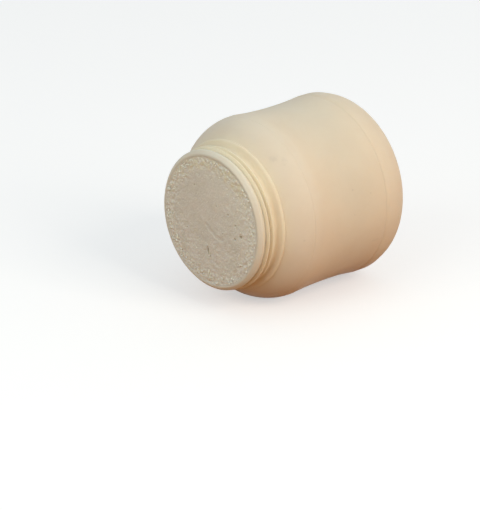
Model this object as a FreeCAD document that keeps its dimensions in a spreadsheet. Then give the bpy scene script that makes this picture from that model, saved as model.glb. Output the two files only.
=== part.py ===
# Tulum cheese packed in a wide-mouthed plastic screw jar that lies on its side with its lid off.
#
# Two pieces: "jar", the thin plastic shell, and "cheese", the fill that runs through it and shows at
# the mouth. Both are turned about the jar's axis. In a piece's own frame that axis is Z, with the
# mouth at 0 and the base at overall_length. The placement then lays the jar down: the mouth faces -Y,
# the base +Y, and the origin is under the middle of the jar, on the surface that it rests on.

import FreeCAD
import Part
import Sketcher
import math
import os

Vector = FreeCAD.Vector

document = FreeCAD.newDocument("TulumCheese")


# ---------------------------------------------------------------- driving dimensions

# alias, millimetres (or degrees, turns), what it is
SIZES = [
    ("overall_length", 121.5, "lip to base"),
    ("body_diameter", 120.8, "at the shoulder's crest and the base bead, which it lies on"),
    ("flat_depth", 0.3, "how deep the resting flat cuts into the round body"),
    ("body_wall", 1.4, "thinnest wall, at the waist"),
    ("base_wall", 1.8, "floor of the jar"),
    ("waist_depth", 1.1, "how far the label panel draws in at its middle"),
    ("mouth_diameter", 84.4, "clear bore of the mouth and neck"),
    ("lip_wall", 1.6, "width of the lip's front face"),
    ("lip_bead_reach", 2.2, "how far the sealing bead stands out of the lip"),
    ("lip_bead_start", 2.2, "from the lip's face"),
    ("lip_bead_width", 1.4, "flat of the bead"),
    ("neck_wall", 2.1, "between the threads"),
    ("neck_length", 16.6, "lip to the collar's front face"),
    ("thread_height", 3.2, "how far the crest stands out of the neck"),
    ("thread_start", 6.0, "middle of the thread where it starts, from the lip"),
    ("thread_pitch", 3.6, "from turn to turn"),
    ("thread_turns", 1.5, "turns of the single thread"),
    ("thread_root_width", 2.4, "where it meets the neck"),
    ("thread_crest_width", 0.9, "along the crest"),
    ("thread_sink", 0.4, "how far its root is buried in the neck"),
    ("thread_lead_angle", 130.0, "degrees from +X over the top to where it starts"),
    ("collar_height", 5.3, "how far the bead under the threads stands out of the neck"),
    ("collar_width", 1.1, "flat of the collar"),
    ("collar_slope", 0.9, "length of the slope behind the collar"),
    ("collar_groove_depth", 1.0, "how far the groove behind it lies under the collar"),
    ("shoulder_length", 23.4, "from that groove to the shoulder's crest"),
    ("bead_width", 9.4, "base bead, from its crease to the heel"),
    ("bead_rise", 0.4, "height of the step at the crease"),
    ("bead_ramp", 1.8, "length of that step"),
    ("heel_step", 0.7, "how far the heel starts under the bead"),
    ("heel_radius", 12.5, "rounding between the side and the base"),
    ("base_ring_width", 9.2, "flat ring round the hollow in the base"),
    ("push_up_depth", 2.5, "depth of that hollow"),
    ("push_up_slope", 3.0, "run of its side"),
    ("inner_heel_radius", 8.5, "rounding inside, at the floor"),
    ("edge_round", 0.5, "small rounding of the plastic's edges"),
    ("fill_gap", 0.1, "between the cheese and the wall"),
    ("face_dome", 0.9, "how far the middle of the cheese stands out of the mouth"),
    ("face_edge_drop", 0.7, "how far its crumbly edge lies inside the mouth"),
    ("face_edge_width", 2.6, "of that worn edge"),
    ("pit_depth", 1.6, "small holes in the face"),
    ("crack_width", 1.0, "short crack in the face"),
    ("crack_length", 5.6, "its length"),
    ("crack_across", -1.1, "its middle, sideways from the mouth's centre"),
    ("crack_down", 20.6, "its middle, under the mouth's centre"),
]

# pits in the cheese's face: sideways and down from the mouth's centre, and diameter
PITS = [
    (28.4, 3.0, 2.2),
    (23.8, -3.2, 1.5),
    (23.3, 6.0, 1.6),
    (16.9, -8.7, 1.4),
]
for order, (across, down, diameter) in enumerate(PITS, start=1):
    SIZES.append(("pit_%d_across" % order, across, "middle of pit %d, sideways" % order))
    SIZES.append(("pit_%d_down" % order, down, "and under the mouth's centre"))
    SIZES.append(("pit_%d_diameter" % order, diameter, "its diameter"))

NAMES = {alias for alias, value, note in SIZES}

sheet = document.addObject("Spreadsheet::Sheet", "Sizes")
for row, (alias, value, note) in enumerate(SIZES, start=1):
    sheet.set("A%d" % row, note)
    sheet.set("B%d" % row, str(value))
    sheet.setAlias("B%d" % row, alias)
document.recompute()


def rule(words):
    """Turns a sum of named sizes into an expression on the sheet."""
    parts = [("<<Sizes>>." + word) if word in NAMES else word for word in words.split()]
    return " ".join(parts)


def number(words):
    """The present value of a sum of named sizes."""
    return float(sheet.evalExpression(rule(words)))


# ---------------------------------------------------------------- helpers

# lays the jar's axis along +Y
LYING = FreeCAD.Rotation(Vector(1, 0, 0), -90)


def make_body(name):
    """A body laid on its side, with its middle over the origin."""
    body = document.addObject("PartDesign::Body", name)
    body.Label = name
    body.Placement = FreeCAD.Placement(Vector(0, 0, 0), LYING)
    body.setExpression("Placement.Base.y", rule("- overall_length / 2"))
    body.setExpression("Placement.Base.z", rule("body_diameter / 2 - flat_depth"))
    return body


def origin_feature(body, role):
    """One of the body's own planes or axes."""
    return [item for item in body.Origin.OriginFeatures if item.Role == role][0]


def make_sketch(body, name, role):
    sketch = body.newObject("Sketcher::SketchObject", name)
    sketch.AttachmentSupport = [(origin_feature(body, role), "")]
    sketch.MapMode = "FlatFace"
    return sketch


def bind(sketch, index, name, words):
    """Names a dimension of a sketch and ties it to the sheet."""
    sketch.renameConstraint(index, name)
    sketch.setExpression("Constraints." + name, rule(words))


class Outline:
    """A closed outline in a sketch, drawn from corner to corner.

    A corner is a name and two sums of named sizes, its distances across and along from the sketch's
    origin. A distance of None puts the corner on that axis of the sketch.
    """

    def __init__(self, sketch, corner):
        self.sketch = sketch
        self.corner = corner
        self.ends = []

    def place(self, corner):
        """Where a corner lies at the present sizes."""
        name, across, along = corner
        return Vector(number(across) if across else 0, number(along) if along else 0, 0)

    def add(self, shape, enter, leave, corner):
        """Adds a side, joins it to the last one and pins its far end to a corner."""
        side = self.sketch.addGeometry(shape, False)
        if self.ends:
            self.sketch.addConstraint(Sketcher.Constraint("Coincident", *self.ends[-1], side, enter))
        else:
            self.first = (side, enter)
        self.ends.append((side, leave))
        self.pin(side, leave, corner)
        self.corner = corner
        return side

    def pin(self, side, end, corner):
        name, across, along = corner
        spot = self.place(corner)
        for kind, words, distance, axis in (("DistanceX", across, spot.x, -2), ("DistanceY", along, spot.y, -1)):
            if words is None:
                self.sketch.addConstraint(Sketcher.Constraint("PointOnObject", side, end, axis))
                continue
            index = self.sketch.addConstraint(Sketcher.Constraint(kind, -1, 1, side, end, distance))
            bind(self.sketch, index, name + "_" + kind[-1].lower(), words)

    def line(self, corner):
        """A straight side to a corner."""
        self.add(Part.LineSegment(self.place(self.corner), self.place(corner)), 1, 2, corner)

    def arc(self, corner, radius, bulge):
        """A round side of a stated radius to a corner. bulge is 1 if it bows to the right, else -1."""
        a = self.place(self.corner)
        b = self.place(corner)
        chord = b - a
        reach = number(radius)
        height = reach - math.sqrt(max(reach ** 2 - (chord.Length / 2) ** 2, 0))
        sideways = Vector(chord.y, -chord.x, 0).normalize()
        middle = (a + b) / 2 + sideways * height * bulge
        shape = Part.Arc(a, middle, b)
        # an arc in a sketch always runs anticlockwise
        enter, leave = (1, 2) if bulge > 0 else (2, 1)
        side = self.add(shape, enter, leave, corner)
        index = self.sketch.addConstraint(Sketcher.Constraint("Radius", side, reach))
        bind(self.sketch, index, corner[0] + "_radius", radius)

    def close(self):
        """Joins the last side to the first."""
        self.sketch.addConstraint(Sketcher.Constraint("Coincident", *self.ends[-1], *self.first))


def turn(body, sketch, kind, name):
    """A full turn of a sketch about the body's own axis, added or taken away."""
    feature = body.newObject("PartDesign::" + kind, name)
    feature.Profile = sketch
    feature.ReferenceAxis = (origin_feature(body, "Z_Axis"), [""])
    feature.Angle = 360
    sketch.Visibility = False
    document.recompute()
    return feature


def round_edges(body, name, wanted, words):
    """Rounds the body's circular edges that have a wanted radius and height."""
    base = body.Tip
    picked = []
    for number_of_edge, edge in enumerate(base.Shape.Edges, start=1):
        curve = edge.Curve
        if not isinstance(curve, Part.Circle):
            continue
        for radius, height in wanted:
            if abs(curve.Radius - radius) < 0.01 and abs(curve.Center.z - height) < 0.01:
                picked.append("Edge%d" % number_of_edge)
    fillet = body.newObject("PartDesign::Fillet", name)
    fillet.Base = (base, picked)
    fillet.setExpression("Radius", rule(words))
    document.recompute()
    return fillet


# ---------------------------------------------------------------- shared places

# Sums of named sizes that more than one outline uses.

BODY = "body_diameter / 2"
MOUTH = "mouth_diameter / 2"
NECK = "( mouth_diameter / 2 + neck_wall )"
LIP_BEAD = "( mouth_diameter / 2 + lip_wall + lip_bead_reach )"
COLLAR = "( mouth_diameter / 2 + neck_wall + collar_height )"
GROOVE_END = "neck_length + collar_width + collar_slope"
CREST = "( " + GROOVE_END + " + shoulder_length )"
BEAD_END = "overall_length - heel_radius"

# The shoulder is an arc that leaves the groove behind the collar and runs out level at the crest.
SHOULDER_RISE = "( " + BODY + " - " + COLLAR + " + collar_groove_depth )"
SHOULDER_RADIUS = "( ( " + SHOULDER_RISE + " ^ 2 + shoulder_length ^ 2 ) / ( 2 * " + SHOULDER_RISE + " ) )"

# Inside, the shoulder is such an arc too, an even wall in from the outside. In a jar with a mouth
# nearly as wide as its body, it leaves the neck level with the back of the collar.
INSIDE = "( body_diameter / 2 - waist_depth - body_wall )"
INNER_RISE = "( " + INSIDE + " - mouth_diameter / 2 )"
EVEN_RADIUS = "( " + SHOULDER_RADIUS + " - waist_depth - body_wall )"
EVEN_LENGTH = "sqrt( " + INNER_RISE + " * ( 2 * " + EVEN_RADIUS + " - " + INNER_RISE + " ) )"
INNER_LENGTH = "min( " + EVEN_LENGTH + " ; collar_slope + shoulder_length )"
INNER_RADIUS = "( ( " + INNER_RISE + " ^ 2 + " + INNER_LENGTH + " ^ 2 ) / ( 2 * " + INNER_RISE + " ) )"


def draw_inside(outline, gap):
    """Draws the jar's inside, or the fill's outside, a gap in from it, from the mouth to the floor."""
    inside = INSIDE + " - " + gap
    turn_radius = "( " + INNER_RADIUS + " - " + gap + " )"
    neck = MOUTH + " - " + gap
    # the fill's shoulder has the centre of the jar's, so that the gap is even
    neck_run = "( " + neck + " - " + INSIDE + " + " + INNER_RADIUS + " )"
    neck_end = CREST + " - sqrt( " + turn_radius + " ^ 2 - " + neck_run + " ^ 2 )"
    floor = "overall_length - push_up_depth - base_wall - " + gap
    heel = "inner_heel_radius"
    outline.line(("neck_end", neck, neck_end))
    outline.arc(("crest", inside, CREST), turn_radius, 1)
    outline.line(("heel_start", inside, floor + " - " + heel))
    outline.arc(("heel_end", inside + " - " + heel, floor), heel, 1)
    outline.line(("floor_middle", None, floor))


# ---------------------------------------------------------------- jar

def draw_shell(sketch):
    """The jar's outside: lip, neck, collar, shoulder, waisted panel, base bead, heel and push-up."""
    bead_back = "lip_bead_start + lip_bead_width"
    groove = COLLAR + " - collar_groove_depth"
    bead_start = BEAD_END + " - bead_width"
    panel = "( " + bead_start + " - " + CREST + " )"
    waist_curve = panel + " ^ 2 / ( 8 * waist_depth ) + waist_depth / 2"
    heel = BODY + " - heel_step"
    push_up = heel + " - heel_radius - base_ring_width"

    outline = Outline(sketch, ("mouth_middle", None, None))
    outline.line(("lip", MOUTH + " + lip_wall", None))
    outline.line(("lip_bead", LIP_BEAD, "lip_bead_start"))
    outline.line(("lip_bead_back", LIP_BEAD, bead_back))
    outline.line(("neck", NECK, bead_back + " + " + LIP_BEAD + " - " + NECK))
    outline.line(("collar_foot", NECK, "neck_length"))
    outline.line(("collar", COLLAR, "neck_length"))
    outline.line(("collar_back", COLLAR, "neck_length + collar_width"))
    outline.line(("groove", groove, GROOVE_END))
    outline.arc(("crest", BODY, CREST), SHOULDER_RADIUS, 1)
    outline.arc(("crease", BODY + " - bead_rise", bead_start), waist_curve, -1)
    outline.line(("bead_start", BODY, bead_start + " + bead_ramp"))
    outline.line(("bead_end", BODY, BEAD_END))
    outline.line(("heel_start", heel, BEAD_END))
    outline.arc(("heel_end", heel + " - heel_radius", "overall_length"), "heel_radius", 1)
    outline.line(("push_up_rim", push_up, "overall_length"))
    outline.line(("push_up_top", push_up + " - push_up_slope", "overall_length - push_up_depth"))
    outline.line(("push_up_middle", None, "overall_length - push_up_depth"))
    outline.line(("mouth_middle", None, None))
    outline.close()


def draw_thread(sketch):
    """The thread's section: a trapezoid whose root is sunk into the neck."""
    root = NECK + " - thread_sink"
    crest = NECK + " + thread_height"
    low = ("root_low", root, "thread_start - thread_root_width / 2")
    outline = Outline(sketch, low)
    outline.line(("crest_low", crest, "thread_start - thread_crest_width / 2"))
    outline.line(("crest_high", crest, "thread_start + thread_crest_width / 2"))
    outline.line(("root_high", root, "thread_start + thread_root_width / 2"))
    outline.line(low)
    outline.close()


def add_thread(body):
    """One right-handed thread that starts beside the top of the mouth."""
    section = make_sketch(body, "ThreadSection", "XZ_Plane")
    lead = "360 - thread_lead_angle"
    turned = FreeCAD.Rotation(Vector(0, 1, 0), number(lead))
    section.AttachmentOffset = FreeCAD.Placement(Vector(0, 0, 0), turned)
    section.setExpression("AttachmentOffset.Rotation.Angle", rule(lead))
    draw_thread(section)
    document.recompute()
    thread = body.newObject("PartDesign::AdditiveHelix", "Thread")
    thread.Profile = section
    thread.ReferenceAxis = (origin_feature(body, "Z_Axis"), [""])
    thread.Mode = "pitch-turns-angle"
    thread.setExpression("Pitch", rule("thread_pitch"))
    thread.setExpression("Turns", rule("thread_turns"))
    document.recompute()
    return thread


def add_resting_flats(body):
    """Cuts the flats that the jar lies on: a thin slice off the crest and the base bead."""
    slice_sketch = make_sketch(body, "RestingSlice", "XY_Plane")
    half = "body_diameter / 4"
    inner = BODY + " - flat_depth"
    outer = BODY + " + flat_depth"
    low = ("low_left", "- " + half, inner)
    outline = Outline(slice_sketch, low)
    outline.line(("low_right", half, inner))
    outline.line(("high_right", half, outer))
    outline.line(("high_left", "- " + half, outer))
    outline.line(low)
    outline.close()
    before = body.Shape.Volume
    flats = body.newObject("PartDesign::Pocket", "RestingFlats")
    flats.Profile = slice_sketch
    flats.Type = "ThroughAll"
    flats.Reversed = True
    document.recompute()
    if body.Shape.Volume > before - 1:
        raise RuntimeError("the resting flats cut nothing")


def make_jar():
    body = make_body("jar")

    shell = make_sketch(body, "ShellOutline", "XZ_Plane")
    draw_shell(shell)
    turn(body, shell, "Revolution", "Shell")
    solid_volume = body.Shape.Volume

    hollow = make_sketch(body, "HollowOutline", "XZ_Plane")
    outline = Outline(hollow, ("mouth_middle", None, None))
    outline.line(("mouth", MOUTH, None))
    draw_inside(outline, "0")
    outline.line(("mouth_middle", None, None))
    outline.close()
    turn(body, hollow, "Groove", "Hollow")
    if body.Shape.Volume > 0.3 * solid_volume:
        raise RuntimeError("the jar wasn't hollowed")

    edges = [
        (number(MOUTH), 0),
        (number(MOUTH + " + lip_wall"), 0),
        (number(LIP_BEAD), number("lip_bead_start")),
        (number(LIP_BEAD), number("lip_bead_start + lip_bead_width")),
        (number(COLLAR), number("neck_length")),
        (number(COLLAR), number("neck_length + collar_width")),
        (number(BODY), number(BEAD_END)),
    ]
    round_edges(body, "EdgeRounds", edges, "edge_round")
    add_thread(body)
    add_resting_flats(body)
    return body


# ---------------------------------------------------------------- cheese

def make_cheese():
    """The fill: a solid plug with a slightly domed face, a worn edge, a few pits and a crack."""
    body = make_body("cheese")
    plug = make_sketch(body, "PlugOutline", "XZ_Plane")
    face_radius = "( " + MOUTH + " - fill_gap - face_edge_width )"
    dome_radius = "( " + face_radius + " ^ 2 + face_dome ^ 2 ) / ( 2 * face_dome )"
    outline = Outline(plug, ("face_middle", None, "- face_dome"))
    outline.arc(("face_edge", face_radius, None), dome_radius, 1)
    outline.line(("worn_edge", MOUTH + " - fill_gap", "face_edge_drop"))
    draw_inside(outline, "fill_gap")
    outline.line(("face_middle", None, "- face_dome"))
    outline.close()
    turn(body, plug, "Revolution", "Plug")

    marks = make_sketch(body, "FaceMarks", "XY_Plane")
    for order, (across, down, diameter) in enumerate(PITS, start=1):
        pit = marks.addGeometry(Part.Circle(Vector(across, down, 0), Vector(0, 0, 1), diameter / 2), False)
        for kind, name, value, points in (
            ("DistanceX", "pit_%d_across", across, (-1, 1, pit, 3)),
            ("DistanceY", "pit_%d_down", down, (-1, 1, pit, 3)),
            ("Diameter", "pit_%d_diameter", diameter, (pit,)),
        ):
            index = marks.addConstraint(Sketcher.Constraint(kind, *points, value))
            bind(marks, index, name % order, name % order)
    low = ("crack_low_left", "crack_across - crack_width / 2", "crack_down - crack_length / 2")
    crack = Outline(marks, low)
    crack.line(("crack_low_right", "crack_across + crack_width / 2", "crack_down - crack_length / 2"))
    crack.line(("crack_high_right", "crack_across + crack_width / 2", "crack_down + crack_length / 2"))
    crack.line(("crack_high_left", "crack_across - crack_width / 2", "crack_down + crack_length / 2"))
    crack.line(low)
    crack.close()
    before = body.Shape.Volume
    pits = body.newObject("PartDesign::Pocket", "Pits")
    pits.Profile = marks
    pits.Midplane = True
    pits.setExpression("Length", rule("2 * pit_depth"))
    document.recompute()
    if body.Shape.Volume > before - 1:
        raise RuntimeError("the pits cut nothing")
    return body


# ---------------------------------------------------------------- build, check, write

def check(document, bodies):
    """Stops if a feature failed or a piece isn't one sound solid."""
    for item in document.Objects:
        if "Invalid" in item.State or "Error" in item.State:
            raise RuntimeError("%s failed: %s" % (item.Label, item.State))
    for body in bodies:
        shape = body.Shape
        if shape.isNull() or not shape.isValid() or len(shape.Solids) != 1:
            raise RuntimeError("%s isn't one sound solid" % body.Label)


pieces = [make_jar(), make_cheese()]
document.recompute()
check(document, pieces)

os.makedirs("parts", exist_ok=True)
for piece in pieces:
    piece.Shape.exportStep(os.path.join("parts", piece.Label + ".step"))
    print("%-8s %10.1f mm3" % (piece.Label, piece.Shape.Volume))
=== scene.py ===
"""Tulum cheese packed in a wide-mouthed plastic screw jar that lies on its side with its lid off.

Lengths are in metres. The jar's axis runs along Y at the height AXIS_HEIGHT: the mouth faces -Y and the
base +Y. A place on the jar is given by its distance from the axis and its distance from the lip.
"""

import math
import random

import bmesh
import bpy
from bpy.props import FloatProperty, FloatVectorProperty, IntProperty, PointerProperty
from mathutils import Matrix, Vector, noise


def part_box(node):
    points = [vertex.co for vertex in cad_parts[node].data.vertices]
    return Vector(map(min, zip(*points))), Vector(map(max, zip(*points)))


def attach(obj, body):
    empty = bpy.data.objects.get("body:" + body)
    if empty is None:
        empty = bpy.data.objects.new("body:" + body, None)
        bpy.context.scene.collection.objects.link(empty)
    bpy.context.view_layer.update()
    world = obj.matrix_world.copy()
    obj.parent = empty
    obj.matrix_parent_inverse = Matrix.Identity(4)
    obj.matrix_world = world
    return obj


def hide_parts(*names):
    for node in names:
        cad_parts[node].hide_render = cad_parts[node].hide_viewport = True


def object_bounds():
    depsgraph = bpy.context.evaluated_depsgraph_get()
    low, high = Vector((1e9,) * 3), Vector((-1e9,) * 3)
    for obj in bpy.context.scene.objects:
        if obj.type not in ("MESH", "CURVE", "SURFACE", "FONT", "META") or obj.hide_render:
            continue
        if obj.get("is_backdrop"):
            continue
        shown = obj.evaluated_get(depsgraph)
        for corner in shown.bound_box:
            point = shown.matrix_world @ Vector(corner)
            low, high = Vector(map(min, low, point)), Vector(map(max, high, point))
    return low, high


bl_info = {
    "name": "Tulum Cheese Jar",
    "version": (1, 0, 0),
    "blender": (4, 5, 0),
    "location": "View3D > Sidebar > Tulum",
    "description": "Makes a plastic jar packed with tulum cheese, lying on its side",
    "category": "Object",
}

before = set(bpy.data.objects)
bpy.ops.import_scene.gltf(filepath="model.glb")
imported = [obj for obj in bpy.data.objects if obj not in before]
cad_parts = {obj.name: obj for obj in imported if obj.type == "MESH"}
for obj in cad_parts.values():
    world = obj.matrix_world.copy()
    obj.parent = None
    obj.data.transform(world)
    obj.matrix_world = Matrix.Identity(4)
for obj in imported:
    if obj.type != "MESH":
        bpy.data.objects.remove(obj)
CAD_LOW, CAD_HIGH = (Vector(corner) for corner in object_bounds())
JAR_LOW, JAR_HIGH = (Vector(corner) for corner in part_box("jar"))

BODY_RADIUS = -JAR_LOW.x
JAR_LENGTH = JAR_HIGH.y - JAR_LOW.y
LIP = JAR_LOW.y
FLOOR = JAR_LOW.z
AXIS_HEIGHT = JAR_HIGH.z - BODY_RADIUS
AXIS = Vector((0, 0, AXIS_HEIGHT))
MM = 0.001
# two axes by number
ALONG = 1
UP = 2
# where the jar's outside meets its inside, in the straight bore of the mouth
BORE_END = 2 * MM


# ------ settings

def plain_number(name, value, description, least=0, **kind):
    return FloatProperty(name=name, description=description, default=value, min=least, **kind)


def length(name, value, description):
    return plain_number(name, value, description, subtype="DISTANCE", unit="LENGTH")


def lamp_power(name, watts, description):
    return plain_number(name, watts, description, unit="POWER")


def heading(name, degrees, description):
    return FloatProperty(
        name=name, description=description, default=math.radians(degrees), subtype="ANGLE", unit="ROTATION")


def whole_number(name, value, description, least=24):
    return IntProperty(name=name, description=description, default=value, min=least)


def colour(name, value, description):
    return FloatVectorProperty(
        name=name, description=description, default=(*value, 1), size=4, min=0, max=1, subtype="COLOR")


class TulumJarSettings(bpy.types.PropertyGroup):
    """Sizes and colours of the plastic jar"""

    mouth_radius: length("Mouth Radius", 42.2 * MM, "Clear bore of the mouth and neck")
    lip_wall: length("Lip Wall", 1.6 * MM, "Width of the lip's front face")
    bead_radius: length("Lip Bead Radius", 46.0 * MM, "Sealing bead round the lip")
    neck_radius: length("Neck Radius", 44.8 * MM, "Neck between the threads")
    neck_length: length("Neck Length", 16.6 * MM, "Lip to the collar")
    collar_radius: length("Collar Radius", 49.6 * MM, "Bead under the threads")
    thread_radius: length("Thread Radius", 47.0 * MM, "Over the crest of the thread")
    thread_start: length("Thread Start", 6.0 * MM, "From the lip to the start of the thread")
    thread_pitch: length("Thread Pitch", 3.6 * MM, "From turn to turn")
    thread_turns: plain_number("Thread Turns", 1.5, "Turns of the thread", 0.5)
    thread_lead: heading("Thread Lead", 130, "Angle over the top from +X to the thread's start")
    groove_depth: length("Groove Depth", 0.7 * MM, "Groove between the collar and the shoulder")
    shoulder_start: length("Shoulder Start", 19.0 * MM, "Lip to the groove behind the collar")
    shoulder_crest: length("Shoulder Crest", 42.0 * MM, "Lip to the end of the shoulder")
    crease_at: length("Crease", 35.0 * MM, "Lip to the fine crease round the shoulder")
    crease_depth: length("Crease Depth", 0.25 * MM, "Depth of that crease")
    waist_depth: length("Waist Depth", 1.1 * MM, "How far the label panel draws in")
    base_bead_start: length("Base Bead Start", 99.6 * MM, "Lip to the crease before the base bead")
    base_bead_end: length("Base Bead End", 109.0 * MM, "Lip to the end of the base bead")
    heel_radius: length("Heel Radius", 12.5 * MM, "Rounding between the side and the base")
    wall: length("Wall", 1.4 * MM, "Thinnest wall")
    base_wall: length("Base Wall", 1.8 * MM, "Floor of the jar")
    inner_heel_radius: length("Inner Heel Radius", 8.5 * MM, "Rounding inside, at the floor")
    push_up_radius: length("Push-up Radius", 38.0 * MM, "Hollow in the base")
    push_up_depth: length("Push-up Depth", 2.5 * MM, "Depth of that hollow")
    segments: whole_number("Segments", 240, "Faces round the jar")
    plastic: colour("Plastic", (0.80, 0.69, 0.54), "Milky plastic with the cheese behind it")
    shoulder_plastic: colour("Shoulder Plastic", (0.80, 0.71, 0.58), "Paler plastic round the shoulder")
    # the neck's tint: partly the plastic's own, partly painted light that lightens and warms the neck where
    # it lies in shade
    neck_plastic_and_painted_light: colour("Bare Plastic", (0.85, 0.755, 0.575), "Warmer plastic at the neck")
    lip_plastic: colour("Lip Plastic", (0.77, 0.73, 0.62), "Pale lip, with the cheese behind it")
    curd_shadow: colour("Curd Shadow", (0.70, 0.565, 0.42), "Plastic where the curd stands off the wall")
    pale_speck: colour("Pale Speck", (0.9, 0.82, 0.68), "Plastic where a grain of curd touches the wall")
    smudge: colour("Smudge", (0.45, 0.40, 0.33), "Dull marks on the plastic")
    scratch: colour("Scratch", (0.62, 0.49, 0.36), "Fine scratches in the plastic")


class TulumCheeseSettings(bpy.types.PropertyGroup):
    """Sizes and colours of the cheese"""

    face_dome: length("Face Dome", 0.7 * MM, "How far the middle stands out of the mouth")
    edge_drop: length("Edge Drop", 0.1 * MM, "How far the crumbly edge lies inside the mouth")
    crumbly_width: length("Crumbly Width", 10.5 * MM, "Width of the crumbly ring")
    rings: whole_number("Rings", 120, "Rows of faces from the middle to the edge", 12)
    segments: whole_number("Segments", 480, "Faces round the cheese")
    crumbs: whole_number("Crumbs", 230, "Loose crumbs on the face", 0)
    paste: colour("Paste", (0.74, 0.70, 0.62), "Smooth pressed paste")
    damp_paste: colour("Damp Paste", (0.68, 0.65, 0.565), "Greyer, damper patches")
    curd: colour("Curd", (0.93, 0.925, 0.80), "Pale curd grains")
    # painted shade: the dark between the grains and in small dents
    gap: colour("Gap", (0.55, 0.50, 0.38), "Between the grains")
    # painted shade inside the pits and the crack
    hollow: colour("Hollow", (0.42, 0.34, 0.21), "Inside the pits and the crack")
    fat: colour("Fat", (0.82, 0.76, 0.52), "Yellow butterfat between the grains")


class TulumStageSettings(bpy.types.PropertyGroup):
    """Floor, lights and camera"""

    camera_azimuth: heading("Camera Azimuth", 46.8, "0 looks along +Y, 90 along -X")
    camera_elevation: heading("Camera Elevation", 20.9, "Above the horizon")
    camera_distance: length("Camera Distance", 1.943, "Along the line of sight to the jar's middle")
    camera_lens: plain_number("Lens", 211.8, "Focal length in millimetres", 10)
    aim_left: length("Aim Left", 25.4 * MM, "How far left of the jar's middle the camera aims")
    aim_down: length("Aim Down", 36.3 * MM, "How far under the jar's middle the camera aims")
    sky: colour("Sky", (0.87, 0.95, 1.0), "Light from above")
    horizon: colour("Horizon", (0.38, 0.26, 0.14), "Light from low down, all round")
    sky_strength: plain_number("Sky Strength", 0.53, "Of the light from all round")
    floor: colour("Floor", (0.60, 0.60, 0.60), "Floor as the camera sees it, without its glow")
    floor_glow: plain_number("Floor Glow", 0.50, "White added to the floor in view")
    floor_bounce: colour("Floor Bounce", (0.38, 0.145, 0.02), "Light that the floor gives back")
    key_power: lamp_power("Key Power", 14, "Lamp up to the right")
    fill_power: lamp_power("Fill Power", 10.2, "Lamp before the mouth")
    back_power: lamp_power("Back Power", 3, "Lamp behind the jar")


# ------ modelling helpers

def deselect_all():
    bpy.ops.object.select_all(action="DESELECT")


def make_active(piece):
    deselect_all()
    piece.select_set(True)
    bpy.context.view_layer.objects.active = piece


def new_piece(name):
    """The primitive that was just added becomes a named piece."""
    piece = bpy.context.active_object
    piece.name = name
    piece.data.name = name
    make_active(piece)
    return piece


def apply_place(piece):
    """Moves the piece's place, turn and size into its mesh."""
    make_active(piece)
    bpy.ops.object.transform_apply(location=True, rotation=True, scale=True)


def finish_piece(piece, material):
    """Every piece of the object ends the same way: a material and a body to ride on."""
    piece.data.materials.clear()
    piece.data.materials.append(material)
    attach(piece, "root")


def shade_smooth(piece, angle):
    """Smooth shading, but for edges sharper than an angle in degrees."""
    make_active(piece)
    bpy.ops.object.shade_smooth_by_angle(angle=math.radians(angle))


def in_mm(numbers):
    return tuple(number * MM for number in numbers)


def arc(centre, radius, start, end, steps):
    """Points on an arc in the plane of (distance from the axis, distance from the lip)."""
    points = []
    for step in range(steps + 1):
        angle = start + (end - start) * step / steps
        points.append((centre[0] + radius * math.cos(angle), centre[1] + radius * math.sin(angle)))
    return points


def shoulder_arc(radius, along, crest_radius, crest_along, steps):
    """Points of the arc that rises from (radius, along) and runs out level at the crest."""
    rise = crest_radius - radius
    run = crest_along - along
    reach = (rise ** 2 + run ** 2) / (2 * rise)
    start = -math.asin(min(run / reach, 1))
    return arc((crest_radius - reach, crest_along), reach, start, 0, steps)


def corner(radius, along, rounding=0, inward=0, behind=0):
    """A corner of a profile as (radius, along, rounding). Its last three values are in millimetres."""
    return (radius - inward * MM, along + behind * MM, rounding * MM)


def rounded(corners, steps=4):
    """A profile through corners of (radius, along, rounding)."""
    most = 0.45  # share of a side that the rounding of one of its corners takes
    points = [corners[0][:2]]
    for before, middle, after in zip(corners, corners[1:], corners[2:]):
        here = Vector(middle[:2])
        back = Vector(before[:2]) - here
        on = Vector(after[:2]) - here
        cut = min(middle[2], most * back.length, most * on.length)
        if cut <= 0:
            points.append(tuple(here))
            continue
        start = here + back.normalized() * cut
        end = here + on.normalized() * cut
        for step in range(steps + 1):
            t = step / steps
            points.append(tuple(start * (1 - t) ** 2 + here * 2 * t * (1 - t) + end * t ** 2))
    points.append(corners[-1][:2])
    return points


def divided(points, longest):
    """The same profile with its long stretches divided."""
    result = [points[0]]
    for a, b in zip(points, points[1:]):
        a, b = Vector(a), Vector(b)
        pieces = max(1, math.ceil((b - a).length / longest))
        for step in range(1, pieces + 1):
            result.append(tuple(a.lerp(b, step / pieces)))
    return result


def lathe(name, profile, segments):
    """Draws a profile by extruding a point, then spins it round the jar's axis."""
    closest = 0.02 * MM
    deselect_all()
    bpy.ops.mesh.primitive_plane_add(size=MM, location=(0, 0, 0))
    piece = new_piece(name)
    bpy.ops.object.mode_set(mode="EDIT")
    bpy.ops.mesh.select_all(action="SELECT")
    bpy.ops.mesh.merge(type="CENTER")
    here = Vector((0, 0, 0))
    for step, (radius, along) in enumerate(profile):
        there = Vector((0, LIP + along, AXIS_HEIGHT + radius))
        if step == 0:
            bpy.ops.transform.translate(value=there - here)
        else:
            bpy.ops.mesh.extrude_vertices_move(TRANSFORM_OT_translate={"value": there - here})
        here = there
    bpy.ops.mesh.select_all(action="SELECT")
    bpy.ops.mesh.spin(steps=segments, angle=2 * math.pi, center=AXIS, axis=(0, 1, 0))
    bpy.ops.mesh.select_all(action="SELECT")
    bpy.ops.mesh.remove_doubles(threshold=closest)
    bpy.ops.mesh.normals_make_consistent(inside=False)
    bpy.ops.object.mode_set(mode="OBJECT")
    return piece


def distance_from_axis(point):
    return math.hypot(point.x, point.z - AXIS_HEIGHT)


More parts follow.
